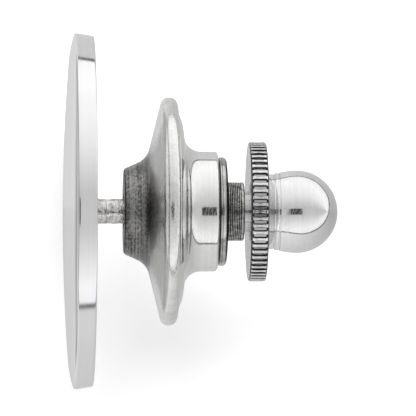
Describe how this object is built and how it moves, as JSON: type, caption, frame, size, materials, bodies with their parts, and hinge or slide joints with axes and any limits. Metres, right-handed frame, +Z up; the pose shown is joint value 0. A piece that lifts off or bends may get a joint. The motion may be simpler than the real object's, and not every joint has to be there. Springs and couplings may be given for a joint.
{
  "type": "tie tack",
  "caption": "Round domed tie tack: polished plate with a pointed post on its back, held by a flanged ball-lock clutch with a knurled pull ring and a domed knob.",
  "frame": {"origin": "centre of the plate's back face, on the post's axis", "axes": "+X along the post from the plate towards the clutch's knob, +Z up, +Y to complete the right hand"},
  "size_m": [0.0132, 0.0172, 0.0172],
  "materials": {
    "plate_polish": "polished plated metal",
    "post_metal": "drawn wire, marked",
    "solder": "plated solder",
    "shell_nickel": "pressed and plated, fine turning lines",
    "cap_metal": "plated, worn",
    "hardened_steel": "ground",
    "plunger_metal": "turned and plated",
    "sleeve_metal": "rough turned",
    "ball_steel": "polished",
    "spring_steel": "spring wire",
    "washer_metal": "stamped",
    "knurl_nickel": "knurled and plated",
    "knob_polish": "polished plated metal, worn"
  },
  "bodies": {
    "pin": {"face_plate": "plate_polish", "post": "post_metal", "solder_fillet": "solder"},
    "ball_race": {"cone_seat": "hardened_steel"},
    "housing": {"front_shell": "shell_nickel", "rear_shell": "shell_nickel", "end_cap": "cap_metal", "spring": "spring_steel"},
    "washer": {"spring_washer": "washer_metal"},
    "plunger": {"plunger_tube": "plunger_metal", "neck_sleeve": "sleeve_metal", "knurled_ring": "knurl_nickel", "knob_cap": "knob_polish"},
    "lock_ball_1": {"ball_1": "ball_steel"},
    "lock_ball_2": {"ball_2": "ball_steel"},
    "lock_ball_3": {"ball_3": "ball_steel"}
  },
  "joints": [
    {"name": "clutch_slide", "type": "slide", "parent": "pin", "child": "ball_race", "axis": [1, 0, 0], "range_m": [-0.0013, 0.0095]},
    {"name": "clutch_spin", "type": "hinge", "parent": "ball_race", "child": "housing", "pos_m": [0.00146, 0, 0], "axis": [1, 0, 0], "continuous": true},
    {"name": "knob_pull", "type": "slide", "parent": "housing", "child": "washer", "axis": [1, 0, 0], "range_m": [0, 0.0008], "stiffness_N_per_m": 600, "deforming": ["spring"]},
    {"name": "knob_spin", "type": "hinge", "parent": "washer", "child": "plunger", "pos_m": [0.00146, 0, 0], "axis": [1, 0, 0], "continuous": true},
    {"name": "ball_1_out", "type": "slide", "parent": "plunger", "child": "lock_ball_1", "axis": [0, 0, 1], "range_m": [0, 0.00022]},
    {"name": "ball_2_out", "type": "slide", "parent": "plunger", "child": "lock_ball_2", "axis": [0, -0.866, -0.5], "range_m": [0, 0.00022]},
    {"name": "ball_3_out", "type": "slide", "parent": "plunger", "child": "lock_ball_3", "axis": [0, 0.866, -0.5], "range_m": [0, 0.00022]}
  ],
  "couplings": [
    {"joint": "ball_1_out", "follows": "knob_pull", "ratio": 0.2679},
    {"joint": "ball_2_out", "follows": "knob_pull", "ratio": 0.2679},
    {"joint": "ball_3_out", "follows": "knob_pull", "ratio": 0.2679}
  ]
}
